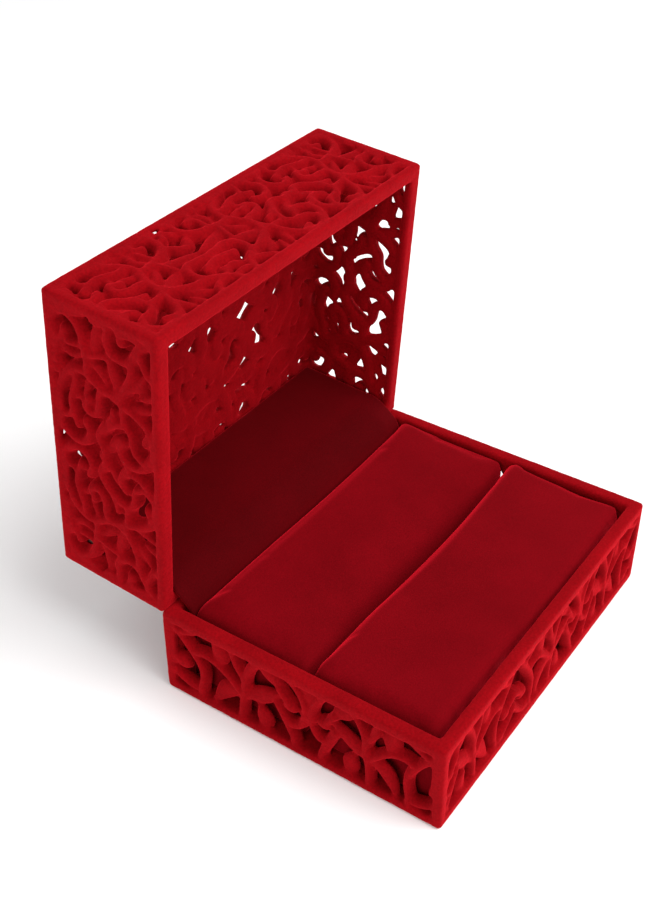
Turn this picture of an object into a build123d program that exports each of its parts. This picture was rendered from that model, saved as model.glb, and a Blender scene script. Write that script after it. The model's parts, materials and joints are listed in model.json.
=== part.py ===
from build123d import *
import math
import os

# A double ring box: an openwork lid and base, two velvet ring pads with a slot between them,
# and a small steel hinge hidden inside the back. The origin is the centre of the base's underside,
# X runs along the hinge, -Y is the front and +Z is up. The lid is drawn closed, then opened.

# Driving dimensions, in millimetres and degrees
BOX_WIDTH = 76.0
BOX_DEPTH = 58.0
BASE_HEIGHT = 19.0
LID_HEIGHT = 24.0
OPEN_ANGLE = 86.0
MOUTH_GAP = 0.2

# Shell walls
BASE_WALL = 2.6
LID_WALL = 3.0
FLOOR = 1.8
CORNER_RADIUS = 1.5
EDGE_RADIUS = 1.0
BASE_BORDER = 2.6
LID_BORDER = 2.4

# Openwork: C-shaped slots round a ball, with round eyes between them
SCROLL_PITCH = 9.5
SCROLL_RADIUS_RATIO = 0.29
SCROLL_SLOT_RATIO = 0.2
SCROLL_SWEEP = 240.0
EYE_RADIUS_RATIO = 0.13

# Hinge
AXIS_INSET = 1.0
PIN_RADIUS = 0.45
PIN_CLEARANCE = 0.05
KNUCKLE_RADIUS = 0.95
KNUCKLE_LENGTH = 8.0
KNUCKLE_COUNT = 5
KNUCKLE_GAP = 0.1
NOTCH_RADIUS = 1.2
LEAF = 0.45
LEAF_TAB = 3.0
REBATE = 0.5
BEVEL_GAP = 0.1
RIVET_SPACING = 32.0
RIVET_RADIUS = 0.5
RIVET_HEAD_RADIUS = 1.0
RIVET_HEAD = 0.35
RIVET_DEPTH = 1.4
SPRING_WIDTH = 6.0
SPRING = 0.25

# Pads and linings
BOARD = 1.2
COVER = 0.8
PAD_CREST = 19.6
PAD_ROUND = 2.5
PAD_LEFT_GAP = 0.4
PAD_RIGHT_GAP = 1.6
PAD_WALL_GAP = 0.3
SLOT_CENTRE_Y = -0.5
SLOT_WIDTH = 0.9
REAR_PAD_BACK_Y = 24.6
LINING_CARD = 0.8
LINING_VELVET = 1.15
LINING_SIDE_GAP = 0.5
REAR_STRIP = 0.45

# Derived places
HALF_WIDTH = BOX_WIDTH / 2
HALF_DEPTH = BOX_DEPTH / 2
LID_MOUTH_Z = BASE_HEIGHT + MOUTH_GAP
LID_TOP_Z = BASE_HEIGHT + LID_HEIGHT
AXIS_Y = HALF_DEPTH - AXIS_INSET
AXIS_Z = BASE_HEIGHT + MOUTH_GAP / 2
HINGE_AXIS = Axis((0, AXIS_Y, AXIS_Z), (1, 0, 0))
HINGE_LENGTH = KNUCKLE_LENGTH * KNUCKLE_COUNT
BASE_INNER_Y = HALF_DEPTH - BASE_WALL
LID_INNER_Y = HALF_DEPTH - LID_WALL


def block(x_range, y_range, z_range):
    """A box between three pairs of limits."""
    size = [limits[1] - limits[0] for limits in (x_range, y_range, z_range)]
    middle = [sum(limits) / 2 for limits in (x_range, y_range, z_range)]
    return Pos(*middle) * Box(*size)


def opened(shape):
    """A lid piece, drawn closed, turned back to the open rest pose."""
    return shape.rotate(HINGE_AXIS, -OPEN_ANGLE)


# Openwork walls

def scroll_cutouts(width, height):
    """The holes of one wall, in rows of scrolls that fill a window of this size."""
    columns = max(1, round(width / SCROLL_PITCH))
    rows = max(1, int(height / (SCROLL_PITCH * 0.9)))
    pitch_u = width / columns
    pitch_v = height / rows
    cell = min(pitch_u, pitch_v)
    holes = []
    for column in range(columns):
        for row in range(rows):
            centre = (pitch_u * (column + 0.5) - width / 2, pitch_v * (row + 0.5) - height / 2)
            start = 90.0 * ((column + 2 * row) % 4) + 60.0
            line = CenterArc((*centre, 0), cell * SCROLL_RADIUS_RATIO, start, SCROLL_SWEEP)
            holes.append(SlotArc(line, cell * SCROLL_SLOT_RATIO))
    eye = cell * EYE_RADIUS_RATIO
    reach_v = height / 2 - eye
    for column in range(1, columns):
        for row in range(rows + 1):
            centre_v = max(-reach_v, min(reach_v, pitch_v * row - height / 2))
            holes.append(Pos(pitch_u * column - width / 2, centre_v) * Circle(eye))
    return holes


def pierce(wall, plane, width, height, thickness):
    """Cut the openwork through a wall, inside a window centred on the plane."""
    for hole in scroll_cutouts(width, height):
        wall -= extrude(plane * hole, amount=thickness, both=True)
    return wall


def cross_wall(y_outer, y_inner, z_range, window):
    """A front or hinge wall, the box's full width, with its two outer corners rounded."""
    y_range = (min(y_outer, y_inner), max(y_outer, y_inner))
    wall = block((-HALF_WIDTH, HALF_WIDTH), y_range, z_range)
    side = 0 if y_outer < y_inner else -1
    corners = wall.edges().filter_by(Axis.Z).group_by(Axis.Y)[side]
    wall = fillet(corners, CORNER_RADIUS)
    middle_z = (window[0] + window[1]) / 2
    plane = Plane(origin=(0, (y_outer + y_inner) / 2, middle_z), x_dir=(1, 0, 0), z_dir=(0, -1, 0))
    border = BASE_BORDER + EDGE_RADIUS
    return pierce(wall, plane, BOX_WIDTH - 2 * border, window[1] - window[0], abs(y_outer - y_inner))


def end_wall(side, thickness, z_range, window):
    """A left or right wall, between the front and the hinge walls."""
    x_range = sorted((side * HALF_WIDTH, side * (HALF_WIDTH - thickness)))
    reach = HALF_DEPTH - thickness
    wall = block(x_range, (-reach, reach), z_range)
    middle_z = (window[0] + window[1]) / 2
    plane = Plane(origin=(sum(x_range) / 2, 0, middle_z), x_dir=(0, 1, 0), z_dir=(1, 0, 0))
    return pierce(wall, plane, 2 * reach - 2 * EDGE_RADIUS, window[1] - window[0], thickness)


def plate(z_range):
    """A full-size plate with rounded corners."""
    slab = block((-HALF_WIDTH, HALF_WIDTH), (-HALF_DEPTH, HALF_DEPTH), z_range)
    return fillet(slab.edges().filter_by(Axis.Z), CORNER_RADIUS)


def hinge_relief(side):
    """What a hinge wall gives up: the bevel that stops the lid, the barrel's notch and the leaf's rebate.

    side is -1 for the base, below the axis, and 1 for the lid, above it.
    """
    bevel_angle = math.radians(OPEN_ANGLE / 2)
    reach = 4.0
    start_z = side * BEVEL_GAP
    end_z = start_z + side * reach * math.tan(bevel_angle)
    outline = Polyline((0, start_z), (reach, end_z), (reach, -side * reach), (0, -side * reach), close=True)
    section = Plane(origin=(0, AXIS_Y, AXIS_Z), x_dir=(0, 1, 0), z_dir=(1, 0, 0))
    bevel = extrude(section * make_face(outline), amount=HALF_WIDTH + 1, both=True)
    notch = extrude(section * Circle(NOTCH_RADIUS), amount=HINGE_LENGTH / 2 + KNUCKLE_GAP, both=True)
    mouth = BASE_HEIGHT if side < 0 else LID_MOUTH_Z
    depth = sorted((mouth - side, mouth + side * REBATE))
    half_length = HINGE_LENGTH / 2 + KNUCKLE_GAP
    rebate = block((-half_length, half_length), (LID_INNER_Y - 1, AXIS_Y), depth)
    return [bevel, notch, rebate]


def base_walls():
    rise = (FLOOR, BASE_HEIGHT)
    window = (FLOOR + EDGE_RADIUS, BASE_HEIGHT - BASE_BORDER)
    hinge_wall = cross_wall(HALF_DEPTH, BASE_INNER_Y, rise, window)
    for relief in hinge_relief(-1) + hinge_rivets(-1, BASE_INNER_Y):
        hinge_wall -= relief
    return {
        "base_floor": plate((0, FLOOR)),
        "base_front_wall": cross_wall(-HALF_DEPTH, -BASE_INNER_Y, rise, window),
        "base_hinge_wall": hinge_wall,
        "base_left_wall": end_wall(-1, BASE_WALL, rise, window),
        "base_right_wall": end_wall(1, BASE_WALL, rise, window),
    }


def lid_top():
    """The lid's top, pierced, with its upper edge rounded over."""
    top = plate((LID_TOP_Z - LID_WALL, LID_TOP_Z))
    top = fillet(top.faces().sort_by(Axis.Z)[-1].edges(), EDGE_RADIUS)
    plane = Plane(origin=(0, 0, LID_TOP_Z - LID_WALL / 2))
    margin = 2 * (LID_BORDER + EDGE_RADIUS)
    return pierce(top, plane, BOX_WIDTH - margin, BOX_DEPTH - margin, LID_WALL)


def lid_walls():
    rise = (LID_MOUTH_Z, LID_TOP_Z - LID_WALL)
    window = (LID_MOUTH_Z + LID_BORDER, LID_TOP_Z - LID_WALL - EDGE_RADIUS)
    hinge_wall = cross_wall(HALF_DEPTH, LID_INNER_Y, rise, window)
    for relief in hinge_relief(1) + hinge_rivets(1, LID_INNER_Y):
        hinge_wall -= relief
    return {
        "lid_top_wall": lid_top(),
        "lid_front_wall": cross_wall(-HALF_DEPTH, -LID_INNER_Y, rise, window),
        "lid_hinge_wall": hinge_wall,
        "lid_left_wall": end_wall(-1, LID_WALL, rise, window),
        "lid_right_wall": end_wall(1, LID_WALL, rise, window),
    }


# Hinge

def hinge_leaf(side, knuckles, inner_y):
    """Knuckles, webs that cross the wall's edge, and the tab riveted inside the wall."""
    mouth = BASE_HEIGHT if side < 0 else LID_MOUTH_Z
    web_z = sorted((mouth + side * BEVEL_GAP / 2, mouth + side * LEAF))
    tab_z = sorted((mouth + side * BEVEL_GAP / 2, mouth + side * LEAF_TAB))
    half_length = HINGE_LENGTH / 2
    leaf = block((-half_length, half_length), (inner_y - LEAF, inner_y), tab_z)
    section = Plane(origin=(0, AXIS_Y, AXIS_Z), x_dir=(0, 1, 0), z_dir=(1, 0, 0))
    for index in knuckles:
        low_x = index * KNUCKLE_LENGTH - half_length + KNUCKLE_GAP / 2
        x_range = (low_x, low_x + KNUCKLE_LENGTH - KNUCKLE_GAP)
        leaf += block(x_range, (inner_y - LEAF, AXIS_Y), web_z)
        leaf += Pos(low_x, 0, 0) * extrude(section * Circle(KNUCKLE_RADIUS), amount=x_range[1] - low_x)
    bore = extrude(section * Circle(PIN_RADIUS + PIN_CLEARANCE), amount=HALF_WIDTH, both=True)
    return leaf - bore


def hinge_rivets(side, inner_y):
    """A pair of rivets that hold one leaf's tab to its wall."""
    mouth = BASE_HEIGHT if side < 0 else LID_MOUTH_Z
    height = mouth + side * (LEAF_TAB + REBATE) / 2
    front_y = inner_y - LEAF
    rivets = []
    for x in (-RIVET_SPACING / 2, RIVET_SPACING / 2):
        plane = Plane(origin=(x, front_y, height), x_dir=(1, 0, 0), z_dir=(0, 1, 0))
        shank = extrude(plane * Circle(RIVET_RADIUS), amount=LEAF + RIVET_DEPTH)
        head = extrude(plane * Circle(RIVET_HEAD_RADIUS), amount=-RIVET_HEAD)
        rivets.append(shank + head)
    return rivets


def hinge_spring():
    """A flat spring against the base leaf, with a lip that points at the lid's middle knuckle."""
    x_range = (-SPRING_WIDTH / 2, SPRING_WIDTH / 2)
    back_y = BASE_INNER_Y - LEAF
    lip_z = BASE_HEIGHT + BEVEL_GAP / 2
    blade = block(x_range, (back_y - SPRING, back_y), (BASE_HEIGHT - LEAF_TAB, lip_z))
    lip = block(x_range, (back_y - SPRING, AXIS_Y - NOTCH_RADIUS), (lip_z - BEVEL_GAP, lip_z))
    return blade + lip


def hinge_parts():
    """Leaves with their rivet holes, rivets, pin and spring. The lid has the two end knuckles."""
    base_leaf = hinge_leaf(-1, (1, 3), BASE_INNER_Y)
    lid_leaf = hinge_leaf(1, (0, 2, 4), LID_INNER_Y)
    base_rivets = hinge_rivets(-1, BASE_INNER_Y)
    lid_rivets = hinge_rivets(1, LID_INNER_Y)
    for rivet in base_rivets:
        base_leaf -= rivet
    for rivet in lid_rivets:
        lid_leaf -= rivet
    pin = Plane(origin=(0, AXIS_Y, AXIS_Z), x_dir=(0, 1, 0), z_dir=(1, 0, 0)) * Circle(PIN_RADIUS)
    return {
        "hinge_base_leaf": base_leaf,
        "hinge_lid_leaf": lid_leaf,
        "hinge_base_rivets": base_rivets,
        "hinge_lid_rivets": lid_rivets,
        "hinge_pin": extrude(pin, amount=HINGE_LENGTH / 2, both=True),
        "hinge_spring": hinge_spring(),
    }


# Pads and linings

def pad(x_range, y_range):
    """One ring pad: a card board, a foam core and a velvet cover that wraps the top and sides."""
    outer = block(x_range, y_range, (FLOOR, PAD_CREST))
    outer = fillet(outer.faces().sort_by(Axis.Z)[-1].edges(), PAD_ROUND)
    inner_x = (x_range[0] + COVER, x_range[1] - COVER)
    inner_y = (y_range[0] + COVER, y_range[1] - COVER)
    inner = block(inner_x, inner_y, (FLOOR, PAD_CREST - COVER))
    inner = fillet(inner.faces().sort_by(Axis.Z)[-1].edges(), PAD_ROUND - COVER)
    board = block(inner_x, inner_y, (FLOOR, FLOOR + BOARD))
    return board, inner - board, outer - inner


def pads():
    x_range = (-HALF_WIDTH + BASE_WALL + PAD_LEFT_GAP, HALF_WIDTH - BASE_WALL - PAD_RIGHT_GAP)
    front_y = (-BASE_INNER_Y + PAD_WALL_GAP, SLOT_CENTRE_Y - SLOT_WIDTH / 2)
    rear_y = (SLOT_CENTRE_Y + SLOT_WIDTH / 2, REAR_PAD_BACK_Y)
    front_board, front_foam, front_cover = pad(x_range, front_y)
    rear_board, rear_foam, rear_cover = pad(x_range, rear_y)
    return {
        "front_pad_board": front_board,
        "front_foam_core": front_foam,
        "front_pad_cover": front_cover,
        "rear_pad_board": rear_board,
        "rear_foam_core": rear_foam,
        "rear_pad_cover": rear_cover,
    }


def linings():
    """The velvet-covered card inside the lid's hinge wall, and the strip behind the rear pad."""
    reach = HALF_WIDTH - LID_WALL - LINING_SIDE_GAP
    ceiling = LID_TOP_Z - LID_WALL
    card_back = LID_INNER_Y
    card_front = card_back - LINING_CARD
    card_low = LID_MOUTH_Z + LEAF_TAB + RIVET_HEAD
    velvet_low = LID_MOUTH_Z + EDGE_RADIUS
    velvet_y = (card_front - LINING_VELVET, card_front)
    strip_y = (REAR_PAD_BACK_Y + 0.15, REAR_PAD_BACK_Y + 0.15 + REAR_STRIP)
    return {
        "lid_lining_board": block((-reach, reach), (card_front, card_back), (card_low, ceiling)),
        "lid_lining_velvet": block((-reach, reach), velvet_y, (velvet_low, ceiling)),
        "rear_lining_strip": block((-reach, reach), strip_y, (FLOOR, BASE_HEIGHT - REBATE)),
    }


def write(name, shape):
    """Save one node. A list of like solids becomes one group."""
    if isinstance(shape, list):
        shape = Compound([piece.solids()[0] for piece in shape])
    export_step(shape, f"parts/{name}.step")


def main():
    os.makedirs("parts", exist_ok=True)
    nodes = {**base_walls(), **lid_walls(), **hinge_parts(), **pads(), **linings()}
    for name, shape in nodes.items():
        if name.startswith("lid_") or name.startswith("hinge_lid"):
            shape = [opened(piece) for piece in shape] if isinstance(shape, list) else opened(shape)
        write(name, shape)


main()
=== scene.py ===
import bpy
import bmesh
import json
import math
import numpy as np
from mathutils import Matrix, Vector, noise


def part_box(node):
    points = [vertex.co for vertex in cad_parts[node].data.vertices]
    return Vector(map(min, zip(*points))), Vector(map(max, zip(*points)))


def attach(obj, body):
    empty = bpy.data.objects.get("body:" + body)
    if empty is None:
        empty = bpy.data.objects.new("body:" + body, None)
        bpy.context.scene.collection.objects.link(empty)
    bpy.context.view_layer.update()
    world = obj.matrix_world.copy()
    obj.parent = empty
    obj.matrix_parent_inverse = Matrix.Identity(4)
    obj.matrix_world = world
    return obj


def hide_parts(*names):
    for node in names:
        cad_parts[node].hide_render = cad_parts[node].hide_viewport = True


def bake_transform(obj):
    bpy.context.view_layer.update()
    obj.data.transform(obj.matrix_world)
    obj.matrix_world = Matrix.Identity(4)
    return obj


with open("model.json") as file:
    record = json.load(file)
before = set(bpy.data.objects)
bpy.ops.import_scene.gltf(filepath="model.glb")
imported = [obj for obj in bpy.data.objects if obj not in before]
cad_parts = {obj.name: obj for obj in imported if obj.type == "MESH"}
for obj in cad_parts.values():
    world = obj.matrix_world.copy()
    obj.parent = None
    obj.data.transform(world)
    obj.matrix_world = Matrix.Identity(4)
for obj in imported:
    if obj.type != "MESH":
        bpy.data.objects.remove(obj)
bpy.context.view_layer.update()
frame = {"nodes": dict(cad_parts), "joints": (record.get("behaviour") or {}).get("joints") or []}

MM = 0.001
SCENE = bpy.context.scene

# What the frame gives: the hinge, and the two shells' outer boxes with the lid closed
HINGE = frame["joints"][0]
HINGE_POINT = Vector(HINGE["pos_m"])
OPEN_ANGLE = math.radians(HINGE["range_deg"][1])
TO_HINGE = Matrix.Translation(HINGE_POINT)
OPENING = TO_HINGE @ Matrix.Rotation(-OPEN_ANGLE, 4, "X") @ Matrix.Translation(-HINGE_POINT)


def closed_box(node):
    """A lid node's lowest and highest corners with the lid closed."""
    shut = OPENING.inverted()
    points = np.array([shut @ v.co for v in frame["nodes"][node].data.vertices])
    return Vector(points.min(0)), Vector(points.max(0))


# Shell sizes, in metres
BASE_LOW, BASE_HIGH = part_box("base_floor")
BASE_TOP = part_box("base_front_wall")[1].z
FLOOR_TOP = BASE_HIGH.z
BASE_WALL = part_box("base_left_wall")[1].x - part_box("base_left_wall")[0].x
LID_LOW, LID_HIGH = closed_box("lid_top_wall")
LID_MOUTH = closed_box("lid_front_wall")[0].z
LID_WALL = LID_HIGH.z - LID_LOW.z
LEAF_LOW, LEAF_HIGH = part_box("hinge_base_leaf")

# Openwork: the skin that joins strokes and bars
VOXEL = 0.34 * MM
SKIN_SOFTENING = 2
FLOCK_UNEVENNESS = 0.09 * MM
FLOCK_PATCH = 1.3 * MM

# Openwork: a stroke's tube, its closed ends, a leaf's outline, and a curl's taper and ball
RING_SIDES = 12
SAMPLE_STEP = 0.45 * MM
SECTION_POWER = 0.74
STROKE_SINK = 0.15 * MM
STROKE_DRAFT = 0.38
THINNEST_DEPTH = 0.05
END_LEAN = np.radians([80.0, 60.0, 35.0])
LEAF_SINK = 0.45 * MM
LEAF_TIP = 0.34
LEAF_SKEW = 0.8
LEAF_FULLNESS = 0.9
CURL_TAPER = 0.85
BALL_RINGS = 9
BALL_REACH = 0.47 * math.pi

# Openwork: the frame's bars and posts, and the recess for the hinge's barrel
BAR_BEVEL = 0.6 * MM
BAR_BEVEL_LIMIT = 0.45
BAR_BEVEL_SEGMENTS = 3
BASE_TOP_BAR = 2.4 * MM
BASE_FRONT_SILL = 0.5 * MM
LID_MOUTH_BAR = 1.7 * MM
LID_TOP_BAR = 1.5 * MM
POST = 1.9 * MM
SIDE_BAR_OVERLAP = 0.4
BARREL_RECESS = 1.25 * MM

# How far flat faces stay inside the planes that cut a shell into its walls, and the largest sliver to drop
CUT_CLEARANCE = 0.15 * MM
SPECK_FACES = 2000

# Each step of every smoothing moves a point this share of the way
SMOOTH_FACTOR = 0.5

# Pads: the cover's skin, and how much a cloth simulation at a larger scale may swell it
PAD_VOXEL = 0.7 * MM
PAD_SIM_SCALE = 20.0
PAD_START_INSET = 0.6 * MM
PAD_CAP = 0.4 * MM
PAD_SIDE_GIVE = 0.2
PAD_SOFTENING = 2
PAD_SETTLING = 2
PAD_RIGHT_GAP = 0.1 * MM
PAD_PIN_HEIGHT = 4.0 * MM
CLOTH_FRAMES = 20
CLOTH_QUALITY = 6
CLOTH_PRESSURE = 4.0

# Lining: its path, from a foot above the floor, straight up to below the strip's top, past the top by the
# bend, to shares of the lid's hinge wall. The bend's start, returned with the path, lies the blend's drop
# below the strip's top.
LINING_THICK = 0.8 * MM
LINING_STEP = 0.8 * MM
LINING_FOOT = 0.3 * MM
LINING_STRAIGHT = 6.0 * MM
LINING_BEND_DROP = 1.2 * MM
LINING_BEND_TOP = (1.1 * MM, 1.5 * MM)
LINING_BEND_SHARE = 0.07
LINING_SHARES = (0.3, 0.6, 1.0)
LINING_BLEND_DROP = 1.5 * MM
# Lining: how far along it the hinge is felt, its wider edges, its ripple and its tucked right corner
FOLD_REACH = 3.0 * MM
EDGE_REACH = 0.5 * MM
RIPPLE = 0.08 * MM
RIPPLE_SCALE = (90.0, 120.0)
RIPPLE_SEED = 3.0
RIPPLE_LEAN = 0.3
TUCK_WIDTH = 5.0 * MM
TUCK_DEPTH = 1.0 * MM
TUCK_LEAN = 0.5


def new_object(name, data):
    obj = bpy.data.objects.new(name, data)
    SCENE.collection.objects.link(obj)
    return obj


def apply_modifiers(obj):
    """Replace an object's mesh by the result of its modifiers."""
    depsgraph = bpy.context.evaluated_depsgraph_get()
    mesh = bpy.data.meshes.new_from_object(obj.evaluated_get(depsgraph))
    obj.modifiers.clear()
    old = obj.data
    obj.data = mesh
    bpy.data.meshes.remove(old)
    return obj


def shade_smooth(mesh):
    mesh.polygons.foreach_set("use_smooth", [True] * len(mesh.polygons))


# ---------------------------------------------------------------- vine layout
# Each stroke is in millimetres on one half unit of wall. u runs from the end of a wall to the middle of
# a pair of scrolls, and v from the bottom edge (or from the lid's mouth) to the opposite edge.

def stem(*points, thick=1.0, thin=None):
    """A plain stroke that narrows from thick to thin."""
    return {"points": points, "radius": (thick, thin or thick), "ball": 0.0, "leaf": False}


def curl(*points, ball=1.5, thick=0.95):
    """A stroke that ends in a round ball."""
    return {"points": points, "radius": (thick, thick * CURL_TAPER), "ball": ball, "leaf": False}


def leaf(*points, fat=1.5):
    """A stroke that swells in the middle and comes to a blunt point."""
    return {"points": points, "radius": (fat, fat), "ball": 0.0, "leaf": True}


BASE_UNIT = (32.0, 19.0)
BASE_VINE = [
    stem((0.4, 18.2), (2.2, 16.2), (4.2, 14.0), (6.0, 12.0), (7.4, 10.2), (8.3, 8.4), (8.5, 6.2), (8.1, 4.0),
         (7.9, 1.6)),
    stem((3.0, 15.2), (5.4, 15.8), (7.6, 17.0), (9.2, 18.8)),
    leaf((12.6, 11.6), (12.4, 14.2), (11.2, 17.2), fat=2.0),
    stem((6.8, 11.8), (9.5, 12.2), (12.0, 11.6), (14.0, 10.4), (15.8, 9.0), (17.6, 7.4)),
    stem((15.4, 18.8), (15.6, 16.2), (16.4, 13.8), (17.6, 12.0), (18.2, 10.0), (18.0, 8.0), (17.5, 5.4),
         (17.2, 1.6)),
    stem((18.0, 9.0), (18.5, 12.2), (19.7, 15.0), (21.6, 17.0), (24.2, 17.9), (27.2, 17.3), (29.6, 15.4),
         (31.0, 12.8), (31.3, 10.0), (30.6, 7.6), (29.2, 6.4), (27.6, 6.5), (26.4, 7.8), (25.2, 9.8)),
    leaf((21.4, 16.6), (24.0, 15.0), (26.2, 13.2), fat=2.0),
    curl((25.6, 13.6), (26.9, 12.0), (28.2, 10.4), ball=1.6),
    leaf((17.8, 7.2), (20.6, 8.4), (23.0, 9.8), (25.8, 11.6), fat=1.9),
    leaf((17.2, 7.8), (13.8, 6.0), (11.0, 2.2), fat=1.9),
    leaf((22.2, 1.4), (22.0, 3.8), (21.2, 6.2), fat=1.9),
    stem((26.2, 8.2), (27.6, 5.4), (28.6, 3.4), (29.0, 1.4)),
    curl((0.0, 9.6), (2.0, 8.8), (3.9, 7.6), ball=1.8),
    stem((0.2, 6.4), (1.8, 4.9), (3.8, 3.5), (6.4, 2.8)),
    stem((31.0, 10.2), (32.0, 10.2)),
    leaf((29.6, 17.4), (31.2, 16.2), (32.0, 14.0), fat=0.95),
]

LID_UNIT = (29.0, 24.0)
LID_VINE = [
    stem((13.3, 15.5), (11.2, 15.4), (9.0, 15.7), (6.0, 16.4), (4.0, 17.6), (3.0, 19.6), (3.5, 21.6),
         (5.4, 22.7), (7.3, 22.4), (8.5, 21.0)),
    curl((8.5, 21.2), (7.9, 20.5), (6.6, 20.0), ball=1.15),
    leaf((8.7, 21.0), (10.4, 20.1), (10.8, 18.4), (9.7, 16.0), fat=1.0),
    stem((14.4, 8.8), (15.1, 10.6), (15.0, 12.3), (14.2, 13.9), (13.3, 15.5), (13.1, 17.4), (14.1, 19.4),
         (16.2, 20.9), (18.8, 22.0), (21.4, 22.8), (24.2, 22.7), (26.6, 21.5), (28.0, 19.5), (28.0, 17.5),
         (26.8, 16.0), (25.0, 15.6), (23.3, 16.4)),
    curl((21.2, 19.3), (23.0, 18.9), (24.6, 18.2), ball=1.15),
    stem((13.3, 18.2), (15.6, 18.1), (18.0, 18.9), (20.4, 19.5), (22.4, 19.2), (23.6, 20.6), (23.4, 22.8),
         thick=0.85),
    stem((15.0, 12.2), (16.6, 13.1), (18.6, 13.1), (20.4, 13.8), (21.0, 15.1), (20.2, 16.3)),
    curl((20.2, 16.2), (19.6, 16.0), (18.4, 15.5), ball=1.1),
    leaf((19.9, 16.2), (18.8, 17.6), (19.4, 19.2), fat=0.85),
    stem((15.0, 12.0), (15.5, 10.0), (16.3, 7.8), (17.0, 5.8), (18.0, 3.8), (19.7, 2.3), (22.0, 1.8),
         (24.6, 2.0), (26.6, 3.2), (27.9, 5.0), (28.0, 7.0), (27.1, 8.6), (25.4, 9.0), (23.8, 8.2)),
    curl((24.8, 2.4), (26.0, 4.0), (25.0, 5.9), ball=0.95),
    curl((19.8, 2.6), (20.8, 3.1), (21.8, 3.5), ball=1.1),
    stem((16.6, 8.2), (18.4, 8.2), (20.2, 7.7), (21.6, 6.6), (23.0, 6.4), (24.6, 6.1), thick=0.8),
    curl((21.2, 11.2), (20.2, 10.5), (18.5, 10.2), ball=0.95),
    stem((20.2, 8.0), (20.9, 9.8), (22.2, 11.8), (23.9, 13.2), (25.5, 13.6), (27.0, 12.7), (28.4, 12.5),
         (29.0, 13.1)),
    leaf((23.2, 8.4), (25.4, 10.6), (28.4, 12.4), fat=1.0),
    stem((26.4, 9.0), (27.8, 8.2), (29.0, 7.3), thick=0.8),
    stem((0.2, 10.4), (3.4, 10.7), (5.4, 10.9), (7.0, 10.0), (7.6, 8.2), (7.2, 6.4), (5.8, 5.2), (4.2, 4.4),
         (2.6, 2.8), (1.6, 0.8)),
    curl((0.2, 8.6), (2.2, 8.4), (3.8, 7.9), ball=1.4),
    stem((5.0, 5.0), (7.2, 5.8), (9.6, 6.1), (12.0, 7.0), (14.0, 8.1), (15.6, 8.8)),
    leaf((14.8, 8.9), (12.4, 9.6), (10.0, 10.4), (7.0, 11.0), fat=1.3),
    leaf((12.8, 7.4), (11.4, 5.0), (8.9, 3.5), fat=1.1),
    stem((3.6, 4.2), (6.2, 3.6), (8.2, 2.4), (9.0, 0.6), thick=0.85),
    leaf((16.3, 7.6), (15.9, 5.0), (14.6, 1.4), fat=1.0),
    leaf((10.0, 14.8), (6.8, 13.6), (3.4, 12.9), (0.2, 12.4), fat=1.3),
    stem((9.6, 15.4), (8.9, 13.6), (8.2, 11.2), thick=0.8),
    leaf((9.0, 21.4), (11.6, 21.8), (15.0, 20.8), fat=0.85),
    stem((11.0, 21.6), (11.6, 23.2), thick=0.8),
    leaf((0.0, 14.6), (1.4, 15.8), (3.0, 17.8), fat=1.1),
    curl((0.0, 21.0), (0.8, 20.2), (1.2, 19.3), ball=0.9, thick=0.8),
    leaf((0.0, 6.2), (1.6, 5.7), (2.8, 4.4), fat=1.1),
    leaf((10.6, 14.4), (11.8, 12.9), (13.6, 11.4), fat=1.0),
    leaf((12.2, 1.0), (12.7, 2.6), (13.6, 4.6), fat=0.9),
    stem((0.0, 3.4), (1.4, 3.2), thick=0.8),
    leaf((14.2, 15.2), (15.9, 15.8), (17.8, 16.6), fat=0.8),
    stem((8.2, 16.6), (8.6, 19.2), thick=0.75),
]


# ---------------------------------------------------------------- stroke meshes

def smooth_line(points, step):
    """Points about a step apart along a smooth curve through the given ones (Catmull-Rom)."""
    points = np.array(points, float)
    padded = np.vstack([2 * points[0] - points[1], points, 2 * points[-1] - points[-2]])
    line = []
    for i in range(1, len(padded) - 2):
        before, here, there, after = padded[i - 1:i + 3]
        count = max(2, int(np.linalg.norm(there - here) / step))
        t = np.arange(count)[:, None] / count
        slope = there - before
        square = 2 * before - 5 * here + 4 * there - after
        cube = 3 * here - before - 3 * there + after
        line.append(0.5 * (2 * here + slope * t + square * t ** 2 + cube * t ** 3))
    return np.vstack(line + [points[-1:]])


def with_round_ends(line, radii):
    """Add rings beyond both ends, so that the tube closes in a half ball."""
    first = line[0] - line[1]
    last = line[-1] - line[-2]
    first /= np.linalg.norm(first)
    last /= np.linalg.norm(last)
    head = [line[0] + first * radii[0] * math.sin(a) for a in END_LEAN]
    tail = [line[-1] + last * radii[-1] * math.sin(a) for a in END_LEAN[::-1]]
    head_radii = [radii[0] * math.cos(a) for a in END_LEAN]
    tail_radii = [radii[-1] * math.cos(a) for a in END_LEAN[::-1]]
    shrink = [math.cos(a) for a in END_LEAN]
    scale = np.concatenate([shrink, np.ones(len(line)), shrink[::-1]])
    return np.vstack([head, line, tail]), np.concatenate([head_radii, radii, tail_radii]), scale


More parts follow.
